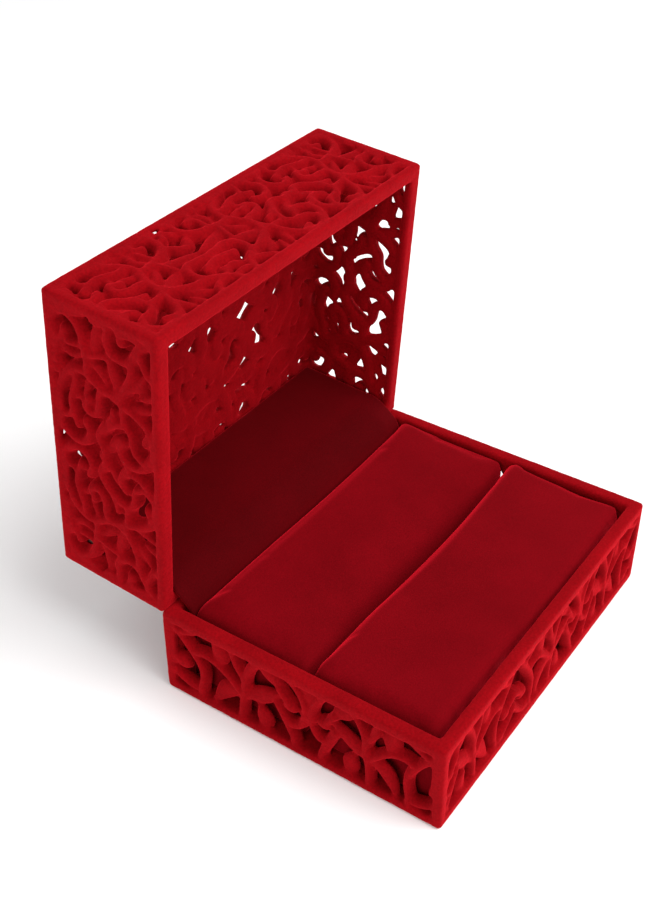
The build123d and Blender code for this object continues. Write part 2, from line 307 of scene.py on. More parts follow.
def tube(line, radii, half_depth, round_ends=True):
    """A tube along a flat line, half_depth deep to each side of the wall's middle.

    It is as wide as the radii there, and a little narrower outside and wider inside, as a moulding is.
    """
    scale = np.sqrt(np.clip(radii / radii.max(), THINNEST_DEPTH, 1.0))
    if round_ends:
        line, radii, scale = with_round_ends(line, radii)
    tangent = np.gradient(line, axis=0)
    tangent /= np.linalg.norm(tangent, axis=1)[:, None]
    normal = np.stack([-tangent[:, 1], tangent[:, 0]], 1)
    angle = np.arange(RING_SIDES) * 2 * math.pi / RING_SIDES
    across = np.sign(np.cos(angle)) * np.abs(np.cos(angle)) ** SECTION_POWER
    out = np.sign(np.sin(angle)) * np.abs(np.sin(angle)) ** SECTION_POWER
    across = across * (1 - STROKE_DRAFT * out)
    flat = line[:, None, :] + normal[:, None, :] * (radii[:, None] * across[None, :])[..., None]
    depth = (scale * half_depth)[:, None] * out[None, :]
    points = np.concatenate([flat, depth[..., None]], 2).reshape(-1, 3)
    faces = []
    for ring in range(len(line) - 1):
        for side in range(RING_SIDES):
            following = (side + 1) % RING_SIDES
            here, there = ring * RING_SIDES, (ring + 1) * RING_SIDES
            faces.append((here + side, here + following, there + following, there + side))
    faces.append(tuple(range(RING_SIDES))[::-1])
    faces.append(tuple((len(line) - 1) * RING_SIDES + side for side in range(RING_SIDES)))
    return points, faces


def ball(centre, radius, half_depth):
    """A ball at the end of a curl, flattened to the wall's depth."""
    angle = np.linspace(-BALL_REACH, BALL_REACH, BALL_RINGS)
    line = np.array([[centre[0] + radius * math.sin(a), centre[1]] for a in angle])
    return tube(line, radius * np.cos(angle), half_depth, round_ends=False)


def stroke_meshes(stroke, scale, offset, mirror, half_depth, field, weight):
    """The closed meshes of one stroke, on the wall's own u, v, w axes in metres."""
    points = np.array(stroke["points"], float)
    points[:, 1] -= field
    if mirror[0]:
        points[:, 0] = mirror[0] - points[:, 0]
    if mirror[1]:
        points[:, 1] = mirror[1] - points[:, 1]
    points = points * scale + offset
    line = smooth_line(points, SAMPLE_STEP)
    along = np.linspace(0, 1, len(line))
    thick, thin = (radius * weight * scale.mean() for radius in stroke["radius"])
    if stroke["leaf"]:
        swelling = np.sin(math.pi * along ** LEAF_SKEW) ** LEAF_FULLNESS
        radii = thick * (LEAF_TIP + (1 - LEAF_TIP) * swelling)
        return [tube(line, radii, half_depth - LEAF_SINK)]
    made = [tube(line, thick + (thin - thick) * along, half_depth)]
    if stroke["ball"]:
        made.append(ball(line[-1], stroke["ball"] * scale.mean(), half_depth))
    return made


def add_vine(bm, vine, unit, size, columns, rows, first_mirrored, place, half_depth, bounds, field=0.0,
             weight=1.0):
    """Cover a wall of this size with half units, each the mirror image of its neighbours.

    columns gives the units' edges as shares of the wall's width. field is the margin at the bottom and top
    of a unit that is left out, and weight thickens the strokes. bounds is the shell's outer box.
    """
    unit = (unit[0], unit[1] - 2 * field)
    for column, (start, end) in enumerate(zip(columns, columns[1:])):
        scale = np.array([size[0] * (end - start) / unit[0], size[1] / rows / unit[1]])
        for row in range(rows):
            turned = (column + first_mirrored) % 2 == 1
            mirror = (unit[0] if turned else None, unit[1] if row % 2 else None)
            offset = np.array([size[0] * start, size[1] / rows * row])
            for stroke in vine:
                for points, faces in stroke_meshes(stroke, scale, offset, mirror, half_depth, field, weight):
                    add_mesh(bm, points, faces, place, bounds)


def add_mesh(bm, points, faces, place, bounds):
    """Add a stroke, held back to the shell's outer faces."""
    turn = np.array(place)
    placed = points @ turn[:3, :3].T + turn[:3, 3]
    placed = np.clip(placed, np.array(bounds[0]) + STROKE_SINK, np.array(bounds[1]) - STROKE_SINK)
    verts = [bm.verts.new(p) for p in placed]
    for face in faces:
        bm.faces.new([verts[i] for i in face])


def add_bar(bm, low, high, cut=None):
    """A frame bar with rounded edges. cut is a plane (point, normal) past which the bar is taken off."""
    bar = bmesh.new()
    size = Vector(high) - Vector(low)
    centre = (Vector(low) + Vector(high)) / 2
    bmesh.ops.create_cube(bar, size=1.0, matrix=Matrix.Translation(centre) @ Matrix.Diagonal((*size, 1.0)))
    if cut:
        geometry = bar.verts[:] + bar.edges[:] + bar.faces[:]
        bmesh.ops.bisect_plane(bar, geom=geometry, plane_co=cut[0], plane_no=cut[1], clear_outer=True)
        bmesh.ops.holes_fill(bar, edges=[e for e in bar.edges if e.is_boundary])
    width = min(BAR_BEVEL, BAR_BEVEL_LIMIT * min(size))
    bmesh.ops.bevel(bar, geom=bar.edges[:], offset=width, segments=BAR_BEVEL_SEGMENTS, profile=0.5,
                    affect="EDGES", clamp_overlap=True)
    mesh = bpy.data.meshes.new("bar")
    bar.to_mesh(mesh)
    bar.free()
    bm.from_mesh(mesh)
    bpy.data.meshes.remove(mesh)


def plane_matrix(origin, along, up, out):
    """Maps a wall's u, v, w to the closed box."""
    columns = [Vector(along), Vector(up), Vector(out)]
    rows = [[c[i] for c in columns] + [origin[i]] for i in range(3)]
    return Matrix(rows + [[0, 0, 0, 1]])


# ---------------------------------------------------------------- shells

THIRDS = (0.0, 1 / 3, 2 / 3, 1.0)
HALVES = (0.0, 0.5, 1.0)
BASE_SIDE_UNITS = (0.0, 0.54, 1.0)
# The strokes' weights, on the long walls and on the short ones
BASE_WEIGHTS = (1.08, 0.98)
LID_WEIGHTS = (1.22, 1.12)
LID_TOP_WEIGHT = 1.42
LID_TOP_ROWS = 3
LID_TOP_FIELD = 1.3


def add_side_vines(bm, vine, unit, low, high, wall, columns_front, columns_side, weights):
    """Openwork on the four upright walls of a shell whose outer box runs from low to high.

    weights are the strokes' weights on the long walls and on the short ones.
    """
    half = wall / 2
    depth = half - STROKE_SINK
    width, length, height = (high[i] - low[i] for i in range(3))
    for y, out in ((low.y + half, -1), (high.y - half, 1)):
        place = plane_matrix((low.x, y, low.z), (1, 0, 0), (0, 0, 1), (0, out, 0))
        add_vine(bm, vine, unit, (width, height), columns_front, 1, 1, place, depth, (low, high),
                 weight=weights[0])
    for x, out in ((low.x + half, -1), (high.x - half, 1)):
        place = plane_matrix((x, high.y, low.z), (0, -1, 0), (0, 0, 1), (out, 0, 0))
        add_vine(bm, vine, unit, (length, height), columns_side, 1, 0, place, depth, (low, high),
                 weight=weights[1])


def add_ring(bm, low, high, wall, height, hinge_cut, recess_side):
    """A ring of four bars. The hinge-side bar has its bevel, and a recess for the hinge's barrel."""
    z = (low.z, low.z + height)
    inner = high.y - wall + CUT_CLEARANCE
    add_bar(bm, (low.x, low.y, z[0]), (high.x, low.y + wall - CUT_CLEARANCE, z[1]))
    for x in ((low.x, low.x + wall), (high.x - wall, high.x)):
        add_bar(bm, (x[0], low.y, z[0]), (x[1], inner + wall * SIDE_BAR_OVERLAP, z[1]))
    if hinge_cut is None:
        add_bar(bm, (low.x, inner, z[0]), (high.x, high.y, z[1]))
        return
    for x in ((low.x, LEAF_LOW.x), (LEAF_HIGH.x, high.x)):
        add_bar(bm, (x[0], inner, z[0]), (x[1], high.y, z[1]), hinge_cut)
    if recess_side < 0:
        z = (z[0], HINGE_POINT.z - BARREL_RECESS)
    else:
        z = (HINGE_POINT.z + BARREL_RECESS, z[1])
    add_bar(bm, (LEAF_LOW.x - BAR_BEVEL, inner, z[0]), (LEAF_HIGH.x + BAR_BEVEL, high.y, z[1]))


def add_posts(bm, low, high, rear_top):
    """Four corner posts. rear_top limits the two at the hinge side."""
    for x in ((low.x, low.x + POST), (high.x - POST, high.x)):
        add_bar(bm, (x[0], low.y, low.z), (x[1], low.y + POST, high.z))
        add_bar(bm, (x[0], high.y - POST, rear_top[0]), (x[1], high.y, rear_top[1]))


def hinge_bevel(side):
    """The plane of the bevel on a hinge wall's edge. side is -1 on the base and 1 on the lid."""
    angle = OPEN_ANGLE / 2
    return HINGE_POINT, Vector((0, math.sin(angle), -side * math.cos(angle)))


def base_shell():
    bm = bmesh.new()
    low = BASE_LOW
    high = Vector((BASE_HIGH.x, BASE_HIGH.y, BASE_TOP))
    add_bar(bm, low, (high.x, high.y, FLOOR_TOP - CUT_CLEARANCE))
    add_bar(bm, low, (high.x, low.y + BASE_WALL - CUT_CLEARANCE, FLOOR_TOP + BASE_FRONT_SILL))
    ring_low = Vector((low.x, low.y, high.z - BASE_TOP_BAR))
    add_ring(bm, ring_low, high, BASE_WALL, BASE_TOP_BAR, hinge_bevel(-1), -1)
    add_posts(bm, low, high, (low.z, high.z - BASE_TOP_BAR + BAR_BEVEL))
    add_side_vines(bm, BASE_VINE, BASE_UNIT, low, high, BASE_WALL, THIRDS, BASE_SIDE_UNITS, BASE_WEIGHTS)
    return openwork(bm, "base_shell")


def lid_shell():
    """The lid, made closed."""
    bm = bmesh.new()
    low = Vector((LID_LOW.x, LID_LOW.y, LID_MOUTH))
    high = Vector(LID_HIGH)
    add_ring(bm, low, high, LID_WALL, LID_MOUTH_BAR, hinge_bevel(1), 1)
    top_low = Vector((low.x, low.y, high.z - LID_TOP_BAR))
    add_ring(bm, top_low, high, LID_TOP_BAR, LID_TOP_BAR, None, 0)
    add_posts(bm, low, high, (LID_MOUTH + LID_MOUTH_BAR - BAR_BEVEL, high.z))
    add_side_vines(bm, LID_VINE, LID_UNIT, low, high, LID_WALL, THIRDS, HALVES, LID_WEIGHTS)
    half = LID_WALL / 2
    place = plane_matrix((low.x, high.y, high.z - half), (0, -1, 0), (1, 0, 0), (0, 0, 1))
    size = (high.y - low.y, high.x - low.x)
    add_vine(bm, LID_VINE, LID_UNIT, size, HALVES, LID_TOP_ROWS, 0, place, half - STROKE_SINK, (low, high),
             field=LID_TOP_FIELD, weight=LID_TOP_WEIGHT)
    return openwork(bm, "lid_shell")


def openwork(bm, name):
    """Join the overlapping strokes and bars into one skin, soften it and give it a flocked unevenness."""
    mesh = bpy.data.meshes.new(name)
    bm.to_mesh(mesh)
    bm.free()
    obj = new_object(name, mesh)
    remesh = obj.modifiers.new("skin", "REMESH")
    remesh.mode = "VOXEL"
    remesh.voxel_size = VOXEL
    remesh.adaptivity = 0.0
    soften = obj.modifiers.new("soften", "SMOOTH")
    soften.factor = SMOOTH_FACTOR
    soften.iterations = SKIN_SOFTENING
    clouds = bpy.data.textures.new("flock", "CLOUDS")
    clouds.noise_scale = FLOCK_PATCH
    uneven = obj.modifiers.new("uneven", "DISPLACE")
    uneven.texture = clouds
    uneven.texture_coords = "LOCAL"
    uneven.strength = FLOCK_UNEVENNESS
    apply_modifiers(obj)
    bpy.data.textures.remove(clouds)
    shade_smooth(obj.data)
    return obj


def split_shell(shell, cuts, names):
    """Cut a shell into its walls. Each cut takes one wall off, and the cut faces are closed."""
    rest = bmesh.new()
    rest.from_mesh(shell.data)
    made = []
    for (point, normal), name in zip(cuts, names):
        piece = rest.copy()
        close_cut(piece, point, normal, False)
        close_cut(rest, point, normal, True)
        drop_specks(piece)
        made.append(mesh_piece(piece, name))
    drop_specks(rest)
    made.append(mesh_piece(rest, names[-1]))
    bpy.data.objects.remove(shell)
    return made


def close_cut(bm, point, normal, keep_inner):
    """Keep one side of a plane and close the cut with flat, sharp-edged faces."""
    geometry = bm.verts[:] + bm.edges[:] + bm.faces[:]
    cut = bmesh.ops.bisect_plane(bm, geom=geometry, plane_co=point, plane_no=normal,
                                 clear_outer=keep_inner, clear_inner=not keep_inner)
    edges = [e for e in cut["geom_cut"] if isinstance(e, bmesh.types.BMEdge)]
    filled = bmesh.ops.triangle_fill(bm, edges=edges, use_beauty=False, use_dissolve=False, normal=normal)
    for face in filled["geom"]:
        if isinstance(face, bmesh.types.BMFace):
            face.smooth = False
    for edge in edges:
        edge.smooth = False


def drop_specks(bm):
    """Delete the closed slivers that are left where a cut only grazes the skin."""
    unseen = set(bm.faces)
    specks = []
    while unseen:
        island = [unseen.pop()]
        for face in island:
            for edge in face.edges:
                for neighbour in edge.link_faces:
                    if neighbour in unseen:
                        unseen.remove(neighbour)
                        island.append(neighbour)
        if len(island) < SPECK_FACES:
            specks += island
    bmesh.ops.delete(bm, geom=specks, context="FACES")


def mesh_piece(bm, name):
    mesh = bpy.data.meshes.new(name)
    bmesh.ops.recalc_face_normals(bm, faces=bm.faces)
    bm.to_mesh(mesh)
    bm.free()
    return new_object(name, mesh)


def shell_cuts(low_y, high_y, wall, z, z_normal):
    """Planes that take off a plate, the front wall, the hinge wall and the left wall, in that order."""
    return [
        (Vector((0, 0, z)), Vector((0, 0, z_normal))),
        (Vector((0, low_y + wall, 0)), Vector((0, -1, 0))),
        (Vector((0, high_y - wall, 0)), Vector((0, 1, 0))),
        (Vector((0, 0, 0)), Vector((-1, 0, 0))),
    ]


def openwork_name(node):
    """base_front_wall gives base_front_openwork, and base_floor gives base_floor_plate."""
    return node.replace("_wall", "_openwork") if node.endswith("_wall") else node + "_plate"


def make_shells():
    sides = ("front", "hinge", "left", "right")
    base_names = ["base_floor"] + [f"base_{s}_wall" for s in sides]
    lid_names = ["lid_top_wall"] + [f"lid_{s}_wall" for s in sides]
    base_cuts = shell_cuts(BASE_LOW.y, BASE_HIGH.y, BASE_WALL, FLOOR_TOP, -1)
    lid_cuts = shell_cuts(LID_LOW.y, LID_HIGH.y, LID_WALL, LID_LOW.z, 1)
    flock = flocked_material()
    for shell, cuts, names, body in ((base_shell(), base_cuts, base_names, "base"),
                                     (lid_shell(), lid_cuts, lid_names, "lid")):
        if body == "lid":
            shell.data.transform(OPENING)
            turn = OPENING.to_3x3()
            cuts = [(OPENING @ point, turn @ normal) for point, normal in cuts]
        pieces = split_shell(shell, cuts, [openwork_name(node) for node in names])
        for piece, node in zip(pieces, names):
            piece.data.materials.append(flock)
            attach(piece, body)
            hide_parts(node)


# ---------------------------------------------------------------- pads

# Cross-sections over the pads, from the front bottom corner over the top to the rear bottom corner, as
# shares of the pad's depth and height. The front pad crests beside the slot.
FRONT_SECTION = [(0, 0), (0, 0.5), (0, 0.9), (0.02, 0.945), (0.06, 0.96), (0.45, 0.955), (0.72, 0.97),
                 (0.85, 0.995), (0.91, 1.0), (0.96, 0.98), (0.99, 0.93), (1.0, 0.86), (1.0, 0.5), (1.0, 0)]
REAR_SECTION = [(0, 0), (0, 0.5), (0, 0.88), (0.02, 0.95), (0.06, 0.975), (0.4, 0.985), (0.75, 1.0),
                (0.92, 1.0), (0.97, 0.985), (0.995, 0.94), (1.0, 0.87), (1.0, 0.5), (1.0, 0)]
# How far the rear pad is worn down beside the slot halfway along, how far back from the slot that goes, and
# how it fades towards the ends, away from the slot and down the side
ROLL_DEPTH = 7.5 * MM
ROLL_LENGTH = 12.0 * MM
ROLL_END_FADE = 1.3
ROLL_BACK_FADE = 2
ROLL_DOWN_FADE = 4
# The sway of each pad's upper half to and fro along it: its size, its half turns and where it starts
FRONT_BOW = 0.5 * MM
REAR_BOW = 0.2 * MM
BOW_TURNS = 2.2
BOW_START = 0.5
BOW_DOWN_FADE = 2
# The ends' rounding, as length and height, and how far the front pad's right end slants
LEFT_ROUND = (3.6 * MM, 2.3 * MM)
RIGHT_ROUND = (0.3 * MM, 0.2 * MM)
RIGHT_SLANT = 0.6 * MM
SLANT_FADE = 6
END_STEPS = 7
MIDDLE_STEPS = 40


def rounded_end(share):
    """How high a rounded end stands, from 0 at its tip to 1 where the rounding ends."""
    return math.sqrt(max(0.0, 1 - (1 - share) ** 2))


def pad_stations(low_x, high_x, height):
    """Places along a pad, with the share of its height that it stands there, both ends rounded down."""
    def end(step, rounding):
        share = 1 - math.cos(math.pi / 2 * step / (END_STEPS - 1))
        return rounding[0] * share, 1 - rounding[1] / height * (1 - rounded_end(share))
    left = [end(step, LEFT_ROUND) for step in range(END_STEPS)]
    right = [end(step, RIGHT_ROUND) for step in reversed(range(END_STEPS))]
    middle = np.linspace(low_x + LEFT_ROUND[0], high_x - RIGHT_ROUND[0], MIDDLE_STEPS + 1)[1:-1]
    return ([(low_x + inset, rise) for inset, rise in left] + [(x, 1.0) for x in middle]
            + [(high_x - inset, rise) for inset, rise in right])


def pad_form(name, section, low, high, bow, roll, slant):
    """A pad's starting form: its section drawn from end to end, rounded down at both ends.

    bow moves the slot side to and fro along the pad, roll lowers the edge at the slot in the middle of the
    pad, and slant draws the right end's front corner in.
    """
    low = low + Vector((1, 1, 0)) * PAD_START_INSET
    high = high - Vector((1, 1, 1)) * PAD_START_INSET
    size = high - low
    line = smooth_line([(y * size.y, z * size.z) for y, z in section], SAMPLE_STEP)
    bm = bmesh.new()
    rings = []
    for x, rise in pad_stations(low.x, high.x, size.z):
        along = (x - low.x) / size.x
        wave = bow * math.sin(BOW_TURNS * math.pi * along + BOW_START)
        sink = roll * math.sin(math.pi * along) ** ROLL_END_FADE
        ring = []
        for y, z in line:
            up = z / size.z
            front = 1 - y / size.y
            worn = sink * max(0.0, 1 - y / ROLL_LENGTH) ** ROLL_BACK_FADE
            place_x = x - slant * front * along ** SLANT_FADE
            place_y = low.y + y + wave * up ** BOW_DOWN_FADE
            place_z = low.z + z * rise - worn * up ** ROLL_DOWN_FADE
            ring.append(bm.verts.new((place_x, place_y, place_z)))
        rings.append(ring)
    for here, there in zip(rings, rings[1:]):
        for i in range(len(line)):
            j = (i + 1) % len(line)
            bm.faces.new((here[i], here[j], there[j], there[i]))
    bm.faces.new(rings[0][::-1])
    bm.faces.new(rings[-1])
    bmesh.ops.recalc_face_normals(bm, faces=bm.faces)
    return mesh_piece(bm, name)


def swell(obj, low, high):
    """Let the foam push the cover out, by no more than the cap and mostly upwards."""
    remesh = obj.modifiers.new("skin", "REMESH")
    remesh.mode = "VOXEL"
    remesh.voxel_size = PAD_VOXEL
    soften = obj.modifiers.new("soften", "SMOOTH")
    soften.factor = SMOOTH_FACTOR
    soften.iterations = PAD_SOFTENING
    apply_modifiers(obj)
    obj.data.transform(Matrix.Scale(PAD_SIM_SCALE, 4))
    start = np.array([v.co for v in obj.data.vertices])
    simulate(obj, start)
    moved = np.array([v.co for v in obj.data.vertices]) - start
    moved[:, :2] *= PAD_SIDE_GIVE
    length = np.linalg.norm(moved, axis=1)
    cap = PAD_CAP * PAD_SIM_SCALE
    moved *= np.minimum(1, cap / np.maximum(length, 1e-9))[:, None]
    ended = (start + moved) / PAD_SIM_SCALE
    obj.data.vertices.foreach_set("co", ended.ravel())
    settle = obj.modifiers.new("settle", "SMOOTH")
    settle.factor = SMOOTH_FACTOR
    settle.iterations = PAD_SETTLING
    finer = obj.modifiers.new("finer", "SUBSURF")
    finer.levels = 1
    apply_modifiers(obj)
    fit_to(obj, low, high)
    shade_smooth(obj.data)


def simulate(obj, start):
    """A cloth simulation under pressure, pinned round the bottom edge."""
    pins = obj.vertex_groups.new(name="pins")
    floor = start[:, 2].min()
    pinned = np.nonzero(start[:, 2] < floor + PAD_PIN_HEIGHT * PAD_SIM_SCALE)[0]
    pins.add(pinned.tolist(), 1.0, "REPLACE")
    cloth = obj.modifiers.new("cloth", "CLOTH")
    cloth.settings.quality = CLOTH_QUALITY
    cloth.settings.use_pressure = True
    cloth.settings.uniform_pressure_force = CLOTH_PRESSURE
    cloth.settings.vertex_group_mass = "pins"
    cloth.settings.effector_weights.gravity = 0.0
    cloth.point_cache.frame_end = CLOTH_FRAMES
    for frame_number in range(1, CLOTH_FRAMES + 1):
        SCENE.frame_set(frame_number)
    apply_modifiers(obj)
    SCENE.frame_set(1)
    obj.vertex_groups.clear()


def fit_to(obj, low, high):
    """Stretch a pad slightly, so that it fills its box again."""
    points = np.array([v.co for v in obj.data.vertices])
    now_low, now_high = points.min(0), points.max(0)
    share = (points - now_low) / (now_high - now_low)
    obj.data.vertices.foreach_set("co", (np.array(low) + share * (np.array(high) - np.array(low))).ravel())


def make_pads():
    cover = pad_velvet()
    for side, section, bow, roll, slant in (("front", FRONT_SECTION, FRONT_BOW, 0.0, RIGHT_SLANT),
                                            ("rear", REAR_SECTION, REAR_BOW, ROLL_DEPTH, 0.0)):
        low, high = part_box(f"{side}_pad_cover")
        high.x = BASE_HIGH.x - BASE_WALL - PAD_RIGHT_GAP
        pad = pad_form(f"{side}_pad_cushion", section, low, high, bow, roll, slant)
        swell(pad, low, high)
        pad.data.materials.append(cover)
        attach(pad, "base")
        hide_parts(f"{side}_pad_cover", f"{side}_foam_core")


# ---------------------------------------------------------------- lining

def lining_path():
    """The lining's middle line, with the points between which it bends.

    It goes up behind the rear pad, over the hinge and along the open lid's hinge wall.
    """
    strip_low, strip_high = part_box("rear_lining_strip")
    velvet_low, velvet_high = closed_box("lid_lining_velvet")
    behind = (strip_low.y + strip_high.y) / 2
    on_board = velvet_high.y - LINING_THICK / 2

    def in_lid(share):
        return OPENING @ Vector((0, on_board, velvet_low.z + (velvet_high.z - velvet_low.z) * share))

    lid_start = in_lid(LINING_BEND_SHARE)
    points = [
        (behind, strip_low.z + LINING_FOOT),
        (behind, strip_high.z - LINING_STRAIGHT),
        (behind, strip_high.z - LINING_BEND_DROP),
        (behind + LINING_BEND_TOP[0], strip_high.z + LINING_BEND_TOP[1]),
        (lid_start.y, lid_start.z),
    ]
    points += [(p.y, p.z) for p in map(in_lid, LINING_SHARES)]
    line = smooth_line(points, LINING_STEP)
    return line, (behind, strip_high.z - LINING_BLEND_DROP), (lid_start.y, lid_start.z)


def lining_grid(line, length, strip_low, strip_high):
    """The lining's middle surface, with its ripple, and its right end tucked down at the hinge."""
    hinge_at = length[np.argmin(np.hypot(line[:, 0] - HINGE_POINT.y, line[:, 1] - HINGE_POINT.z))]
    columns = int((strip_high.x - strip_low.x) / LINING_STEP)
    bm = bmesh.new()
    grid = []
    for (y, z), s in zip(line, length):
        near = math.exp(-((s - hinge_at) / FOLD_REACH) ** 2)
        left = strip_low.x - EDGE_REACH * near
        right = strip_high.x + EDGE_REACH * near
        row = []
        for column in range(columns + 1):
            x = left + (right - left) * column / columns
            spot = Vector((x * RIPPLE_SCALE[0], s * RIPPLE_SCALE[1], RIPPLE_SEED))
            ripple = RIPPLE * noise.noise(spot)
            drop = TUCK_DEPTH * near * max(0.0, 1 - (right - x) / TUCK_WIDTH)
            row.append(bm.verts.new((x, y + TUCK_LEAN * drop - RIPPLE_LEAN * ripple, z - drop + ripple)))
        grid.append(row)
    for here, there in zip(grid, grid[1:]):
        for i in range(columns):
            bm.faces.new((here[i], here[i + 1], there[i + 1], there[i]))
    return bm


def make_lining():
    """One velvet sheet lines the lid's hinge wall, crosses the hinge and goes down behind the rear pad."""
    line, start, end = lining_path()
    strip_low, strip_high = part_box("rear_lining_strip")
    length = np.concatenate([[0], np.cumsum(np.linalg.norm(np.diff(line, axis=0), axis=1))])
    lining = mesh_piece(lining_grid(line, length, strip_low, strip_high), "lid_lining_sheet")
    thicken = lining.modifiers.new("thick", "SOLIDIFY")
    thicken.thickness = LINING_THICK
    thicken.offset = 0.0
    thicken.use_even_offset = True
    finer = lining.modifiers.new("finer", "SUBSURF")
    finer.levels = 1
    apply_modifiers(lining)
    shade_smooth(lining.data)
    lining.data.materials.append(lining_velvet())
    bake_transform(lining)
    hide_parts("lid_lining_velvet", "rear_lining_strip")


# ---------------------------------------------------------------- materials

def node_material(name):
    material = bpy.data.materials.new(name)
    material.use_nodes = True
    nodes = material.node_tree.nodes
    return material, nodes, material.node_tree.links, nodes["Principled BSDF"]


def add_noise(nodes, links, place, scale, detail, roughness=0.5):
    noise_node = nodes.new("ShaderNodeTexNoise")
    noise_node.inputs["Scale"].default_value = scale
    noise_node.inputs["Detail"].default_value = detail
    noise_node.inputs["Roughness"].default_value = roughness
    links.new(place.outputs["Object"], noise_node.inputs["Vector"])
    return noise_node


def add_ramp(nodes, links, source, stops):
    ramp = nodes.new("ShaderNodeValToRGB")
    ramp.color_ramp.elements[0].position = stops[0][0]
    ramp.color_ramp.elements[0].color = (*stops[0][1], 1)
    ramp.color_ramp.elements[1].position = stops[-1][0]
    ramp.color_ramp.elements[1].color = (*stops[-1][1], 1)
    for position, color in stops[1:-1]:
        ramp.color_ramp.elements.new(position).color = (*color, 1)
    links.new(source, ramp.inputs["Fac"])
    return ramp


def add_range(nodes, links, source, low, high):
    rough = nodes.new("ShaderNodeMapRange")
    rough.inputs["To Min"].default_value = low
    rough.inputs["To Max"].default_value = high
    links.new(source, rough.inputs["Value"])
    return rough.outputs["Result"]


def add_bump(nodes, links, height, strength, distance, normal=None):
    bump = nodes.new("ShaderNodeBump")
    bump.inputs["Strength"].default_value = strength
    bump.inputs["Distance"].default_value = distance
    links.new(height, bump.inputs["Height"])
    if normal:
        links.new(normal, bump.inputs["Normal"])
    return bump.outputs["Normal"]


# What every pile has: its patches of two reds, its grain and how much that darkens, its depths and its gloss
PATCH_STOPS = (0.32, 0.68)
GRAIN_STOPS = (0.3, 0.65)
GRAIN_DARK = (0.62, 0.62, 0.62)
GRAIN_LIGHT = (1.0, 1.0, 1.0)
GRAIN_SHARE = 0.75
FINE_PILE = 3
PILE_DEPTH = 0.12 * MM
FINE_PILE_DEPTH = 0.06 * MM
PILE_ROUGHNESS = (0.83, 0.93)
PILE_SPECULAR = 0.03
PILE_SHEEN_ROUGHNESS = 0.42


def velvet(name, dark, light, patch_scale, pile_scale, pile_bump, sheen, sheen_tint):
    """A short pile in two close reds, in patches where it leans, with a grain and a coloured sheen."""
    material, nodes, links, shader = node_material(name)
    place = nodes.new("ShaderNodeTexCoord")
    patches = add_noise(nodes, links, place, patch_scale, detail=5.0, roughness=0.6)
    tufts = add_noise(nodes, links, place, pile_scale, detail=4.0, roughness=0.6)
    pile = add_noise(nodes, links, place, pile_scale * FINE_PILE, detail=2.0)
    ramp = add_ramp(nodes, links, patches.outputs["Fac"], list(zip(PATCH_STOPS, (dark, light))))
    grain = add_ramp(nodes, links, tufts.outputs["Fac"], list(zip(GRAIN_STOPS, (GRAIN_DARK, GRAIN_LIGHT))))
    mix = nodes.new("ShaderNodeMix")
    mix.data_type = "RGBA"
    mix.blend_type = "MULTIPLY"
    mix.inputs["Factor"].default_value = GRAIN_SHARE
    links.new(ramp.outputs["Color"], mix.inputs["A"])
    links.new(grain.outputs["Color"], mix.inputs["B"])
    links.new(mix.outputs["Result"], shader.inputs["Base Color"])
    rough = add_range(nodes, links, patches.outputs["Fac"], *PILE_ROUGHNESS)
    links.new(rough, shader.inputs["Roughness"])
    coarse = add_bump(nodes, links, tufts.outputs["Fac"], pile_bump, PILE_DEPTH)
    fine = add_bump(nodes, links, pile.outputs["Fac"], pile_bump, FINE_PILE_DEPTH, coarse)
    links.new(fine, shader.inputs["Normal"])
    shader.inputs["Specular IOR Level"].default_value = PILE_SPECULAR
    shader.inputs["Sheen Weight"].default_value = sheen
    shader.inputs["Sheen Roughness"].default_value = PILE_SHEEN_ROUGHNESS
    shader.inputs["Sheen Tint"].default_value = (*sheen_tint, 1)
    return material


def flocked_material():
    return velvet("flocked_red", dark=(0.215, 0.0011, 0.0033), light=(0.275, 0.0017, 0.0045),
                  patch_scale=140.0, pile_scale=2100.0, pile_bump=0.8,
                  sheen=0.7, sheen_tint=(1.0, 0.016, 0.030))


def pad_velvet():
    return velvet("pad_velvet", dark=(0.130, 0.0004, 0.0024), light=(0.172, 0.0009, 0.0037),
                  patch_scale=60.0, pile_scale=3600.0, pile_bump=0.3,
                  sheen=1.0, sheen_tint=(1.0, 0.014, 0.034))


# Painted shade: the lining's reds are set well below the pads' velvet so that the sheet looks as dark as the
# shaded inside of the open lid.
def lining_velvet():
    return velvet("lining_velvet", dark=(0.060, 0.0002, 0.0011), light=(0.078, 0.0003, 0.0016),
                  patch_scale=60.0, pile_scale=3600.0, pile_bump=0.3,
                  sheen=0.7, sheen_tint=(1.0, 0.014, 0.030))


# Steel's tarnish and drawn lines, and the board's fibres and colours
TARNISH_SCALE = 300.0
TARNISH_STOPS = (0.35, 0.65)
DRAWN_SCALE = 9000.0
DRAWN_STRETCH = (0.04, 1.0, 1.0)
DRAWN_SPREAD = 0.1
DRAWN_DEPTH = 0.02 * MM
FIBRE_SCALE = 900.0
FIBRE_TONES = [(0.3, (0.13, 0.09, 0.07)), (0.5, (0.19, 0.14, 0.11)), (0.75, (0.26, 0.20, 0.16))]
FIBRE_ROUGHNESS = (0.8, 0.95)
FIBRE_DEPTH = 0.05 * MM


